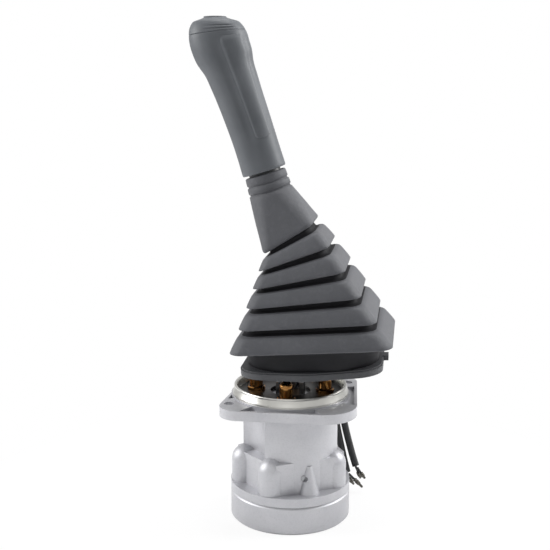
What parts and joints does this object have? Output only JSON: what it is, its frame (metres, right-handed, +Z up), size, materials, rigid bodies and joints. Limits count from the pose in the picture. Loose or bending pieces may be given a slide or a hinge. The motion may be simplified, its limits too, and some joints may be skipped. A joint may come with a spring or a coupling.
{
  "type": "hydraulic pilot control joystick",
  "caption": "Hydraulic pilot joystick: grip on a cranked lever, pleated rubber boot, universal joint with plungers, cast valve body with flange and drum-shaped port plate.",
  "frame": {"origin": "middle of the two mounting holes, on the underside of the flange", "axes": "+Z up along the valve axis, lever leans towards -X, the front of the grip faces -Y"},
  "size_m": [0.1324, 0.0961, 0.3276],
  "materials": {
    "cast_aluminium": "fine sand-cast grain",
    "polished_steel": "polished, bright",
    "steel": "machined",
    "zinc_steel": "yellow zinc plated",
    "black_steel": "black oxide",
    "brass": "turned",
    "grip_plastic": "fine moulded grain, satin",
    "black_plastic": "moulded",
    "boot_rubber": "fine leather grain, matt",
    "black_rubber": "smooth",
    "harness_sleeve": "braided sleeve",
    "terminal_metal": "tinned, with black insulation"
  },
  "bodies": {
    "valve": {"valve_body": "cast_aluminium", "body_plug": "steel", "port_plate_seal": "black_rubber", "port_plate": "cast_aluminium", "port_plate_screws": "black_steel", "retainer_plate": "polished_steel", "retainer_screws": "steel", "plunger_seals": "black_rubber", "joint_base": "steel", "boot": "boot_rubber", "boot_base_plate": "black_plastic", "harness_strand_1": "harness_sleeve", "harness_strand_2": "harness_sleeve", "terminal_leads": "terminal_metal", "plunger_guide_right": "brass", "plunger_guide_back": "brass", "plunger_guide_left": "brass", "plunger_guide_front": "brass", "return_spring_right": "steel", "return_spring_back": "steel", "return_spring_left": "steel", "return_spring_front": "steel"},
    "cross": {"joint_cross": "steel"},
    "lever": {"joint_yoke": "steel", "swash_plate": "black_steel", "adjusting_nut": "zinc_steel", "lock_nut": "zinc_steel", "lever_rod": "black_steel", "boot_adapter": "black_plastic", "grip_body": "grip_plastic", "grip_front_panel": "grip_plastic", "grip_cap": "grip_plastic", "button_spring": "steel", "grip_switch": "black_plastic"},
    "button": {"thumb_button": "black_plastic"},
    "plunger_right": {"plunger_right": "brass", "spring_seat_right": "steel"},
    "spool_right": {"spool_right": "steel", "metering_spring_right": "steel"},
    "plunger_back": {"plunger_back": "brass", "spring_seat_back": "steel"},
    "spool_back": {"spool_back": "steel", "metering_spring_back": "steel"},
    "plunger_left": {"plunger_left": "brass", "spring_seat_left": "steel"},
    "spool_left": {"spool_left": "steel", "metering_spring_left": "steel"},
    "plunger_front": {"plunger_front": "brass", "spring_seat_front": "steel"},
    "spool_front": {"spool_front": "steel", "metering_spring_front": "steel"}
  },
  "joints": [
    {"name": "tilt_fore_aft", "type": "hinge", "parent": "valve", "child": "cross", "pos_m": [0, 0, 0.014], "axis": [1, 0, 0], "range_deg": [-19, 19], "stiffness_Nm_per_rad": 6, "deforming": ["boot"]},
    {"name": "tilt_side", "type": "hinge", "parent": "cross", "child": "lever", "pos_m": [0, 0, 0.014], "axis": [0, 1, 0], "range_deg": [-19, 19], "stiffness_Nm_per_rad": 6, "deforming": ["boot"]},
    {"name": "plunger_right_slide", "type": "slide", "parent": "valve", "child": "plunger_right", "axis": [0, 0, 1], "range_m": [-0.00797, 0.00797], "deforming": ["return_spring_right", "metering_spring_right"]},
    {"name": "spool_right_slide", "type": "slide", "parent": "valve", "child": "spool_right", "axis": [0, 0, 1], "range_m": [-0.0014, 0.0014]},
    {"name": "plunger_left_slide", "type": "slide", "parent": "valve", "child": "plunger_left", "axis": [0, 0, 1], "range_m": [-0.00797, 0.00797], "deforming": ["return_spring_left", "metering_spring_left"]},
    {"name": "spool_left_slide", "type": "slide", "parent": "valve", "child": "spool_left", "axis": [0, 0, 1], "range_m": [-0.0014, 0.0014]},
    {"name": "plunger_back_slide", "type": "slide", "parent": "valve", "child": "plunger_back", "axis": [0, 0, 1], "range_m": [-0.00797, 0.00797], "deforming": ["return_spring_back", "metering_spring_back"]},
    {"name": "spool_back_slide", "type": "slide", "parent": "valve", "child": "spool_back", "axis": [0, 0, 1], "range_m": [-0.0014, 0.0014]},
    {"name": "plunger_front_slide", "type": "slide", "parent": "valve", "child": "plunger_front", "axis": [0, 0, 1], "range_m": [-0.00797, 0.00797], "deforming": ["return_spring_front", "metering_spring_front"]},
    {"name": "spool_front_slide", "type": "slide", "parent": "valve", "child": "spool_front", "axis": [0, 0, 1], "range_m": [-0.0014, 0.0014]},
    {"name": "thumb_button_press", "type": "slide", "parent": "lever", "child": "button", "axis": [0.2974, 0, -0.9548], "range_m": [0, 0.002], "stiffness_N_per_m": 1500, "deforming": ["button_spring"]}
  ],
  "couplings": [
    {"joint": "plunger_right_slide", "follows": "tilt_side", "m_per_rad": -0.024},
    {"joint": "spool_right_slide", "follows": "tilt_side", "m_per_rad": -0.0042},
    {"joint": "plunger_left_slide", "follows": "tilt_side", "m_per_rad": 0.024},
    {"joint": "spool_left_slide", "follows": "tilt_side", "m_per_rad": 0.0042},
    {"joint": "plunger_back_slide", "follows": "tilt_fore_aft", "m_per_rad": 0.024},
    {"joint": "spool_back_slide", "follows": "tilt_fore_aft", "m_per_rad": 0.0042},
    {"joint": "plunger_front_slide", "follows": "tilt_fore_aft", "m_per_rad": -0.024},
    {"joint": "spool_front_slide", "follows": "tilt_fore_aft", "m_per_rad": -0.0042}
  ]
}
